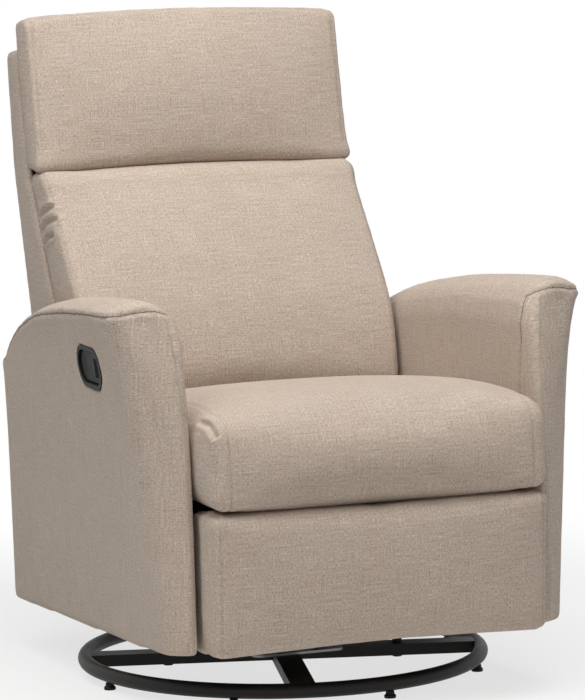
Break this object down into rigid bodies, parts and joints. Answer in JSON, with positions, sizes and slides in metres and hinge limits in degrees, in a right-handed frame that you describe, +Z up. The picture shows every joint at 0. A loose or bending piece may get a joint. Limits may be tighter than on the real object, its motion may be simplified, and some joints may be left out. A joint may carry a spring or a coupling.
{
  "type": "swivel glider recliner",
  "caption": "Upholstered armchair on a round swivel base that glides, with a reclining back, a fold-out footrest and a release lever in one arm.",
  "frame": {"origin": "bottom centre of the chair's box, on the floor", "axes": "+Z up, -Y the way the sitter looks, +X to the sitter's left"},
  "size_m": [0.7704, 0.925, 1.0219],
  "materials": {
    "upholstery": "woven slub linen",
    "black_steel": "satin",
    "zinc_steel": "zinc plated",
    "black_plastic": "matte",
    "hardwood": "sawn"
  },
  "bodies": {
    "floor_base": {"base_ring": "black_steel", "base_cross": "black_steel", "glide_foot_1": "black_plastic", "glide_foot_2": "black_plastic", "glide_foot_3": "black_plastic", "glide_foot_4": "black_plastic", "glide_foot_5": "black_plastic", "glide_foot_6": "black_plastic", "glide_foot_7": "black_plastic", "glide_foot_8": "black_plastic", "cross_bolt_1": "black_steel", "cross_bolt_2": "black_steel", "lower_bearing_plate": "zinc_steel", "swivel_pivot": "zinc_steel"},
    "swivel_frame": {"upper_bearing_plate": "black_steel", "front_channel": "black_steel", "rear_channel": "black_steel", "left_upright": "black_steel", "right_upright": "black_steel"},
    "front_glide_links": {"left_front_glide_link": "black_steel", "right_front_glide_link": "black_steel"},
    "rear_glide_links": {"left_rear_glide_link": "black_steel", "right_rear_glide_link": "black_steel"},
    "chair_body": {"left_glide_rail": "black_steel", "right_glide_rail": "black_steel", "front_cross_rail": "hardwood", "rear_cross_rail": "hardwood", "left_base_plate": "black_steel", "right_base_plate": "black_steel", "left_arm": "upholstery", "right_arm": "upholstery", "lever_cup": "black_plastic"},
    "lever": {"lever_paddle": "black_plastic"},
    "seat": {"seat_frame": "black_steel", "seat_spring_1": "zinc_steel", "seat_spring_2": "zinc_steel", "seat_spring_3": "zinc_steel", "left_seat_plate": "black_steel", "right_seat_plate": "black_steel", "seat_cushion": "upholstery"},
    "leg_cranks": {"left_crank_link": "black_steel", "right_crank_link": "black_steel", "drive_tube": "black_steel"},
    "leg_arms": {"left_long_link": "black_steel", "right_long_link": "black_steel"},
    "guide_links": {"left_guide_link": "black_steel", "right_guide_link": "black_steel"},
    "footrest": {"left_foot_bracket": "black_steel", "right_foot_bracket": "black_steel", "footrest_board": "hardwood", "footrest_pad": "upholstery"},
    "backrest": {"back_shell": "upholstery", "left_back_post": "hardwood", "right_back_post": "hardwood", "lower_back_rail": "hardwood", "upper_back_rail": "hardwood", "left_back_bracket": "black_steel", "right_back_bracket": "black_steel", "back_cushion": "upholstery", "headrest_cushion": "upholstery"}
  },
  "joints": [
    {"name": "swivel", "type": "hinge", "parent": "floor_base", "child": "swivel_frame", "pos_m": [0, -0.03587, 0.04], "axis": [0, 0, 1], "continuous": true},
    {"name": "glide", "type": "hinge", "parent": "swivel_frame", "child": "front_glide_links", "pos_m": [0, -0.12587, 0.21432], "axis": [1, 0, 0], "range_deg": [-14, 14]},
    {"name": "glide_level", "type": "hinge", "parent": "front_glide_links", "child": "chair_body", "pos_m": [0, -0.12587, 0.10932], "axis": [1, 0, 0], "range_deg": [-14, 14]},
    {"name": "glide_rear", "type": "hinge", "parent": "swivel_frame", "child": "rear_glide_links", "pos_m": [0, 0.05413, 0.21432], "axis": [1, 0, 0], "range_deg": [-14, 14]},
    {"name": "lever_pull", "type": "hinge", "parent": "chair_body", "child": "lever", "pos_m": [-0.34511, -0.1271, 0.50689], "axis": [0.1344, 0, -0.9909], "range_deg": [0, 25], "stiffness_Nm_per_rad": 0.3},
    {"name": "seat_slide", "type": "slide", "parent": "chair_body", "child": "seat", "axis": [0, -0.9945, 0.1045], "range_m": [0, 0.06]},
    {"name": "recline", "type": "hinge", "parent": "seat", "child": "backrest", "pos_m": [0, 0.20113, 0.262], "axis": [-1, 0, 0], "range_deg": [0, 32]},
    {"name": "leg_open", "type": "hinge", "parent": "seat", "child": "leg_cranks", "pos_m": [0, -0.23587, 0.286], "axis": [-1, 0, 0], "range_deg": [0, 135]},
    {"name": "leg_unfold", "type": "hinge", "parent": "leg_cranks", "child": "leg_arms", "pos_m": [0, -0.11689, 0.21223], "axis": [1, 0, 0], "range_deg": [0, 125]},
    {"name": "guide_turn", "type": "hinge", "parent": "seat", "child": "guide_links", "pos_m": [0, -0.28737, 0.2944], "axis": [-1, 0, 0], "range_deg": [0, 135.13]},
    {"name": "footrest_turn", "type": "hinge", "parent": "leg_arms", "child": "footrest", "pos_m": [0, -0.3309, 0.23283], "axis": [-1, 0, 0], "range_deg": [0, 80]}
  ],
  "couplings": [
    {"joint": "glide_level", "follows": "glide", "ratio": -1},
    {"joint": "glide_rear", "follows": "glide", "ratio": 1},
    {"joint": "seat_slide", "follows": "recline", "m_per_rad": 0.10742},
    {"joint": "leg_unfold", "follows": "leg_open", "ratio": 0.92592},
    {"joint": "guide_turn", "follows": "leg_open", "ratio": 1.001},
    {"joint": "footrest_turn", "follows": "leg_open", "ratio": 0.59258}
  ]
}
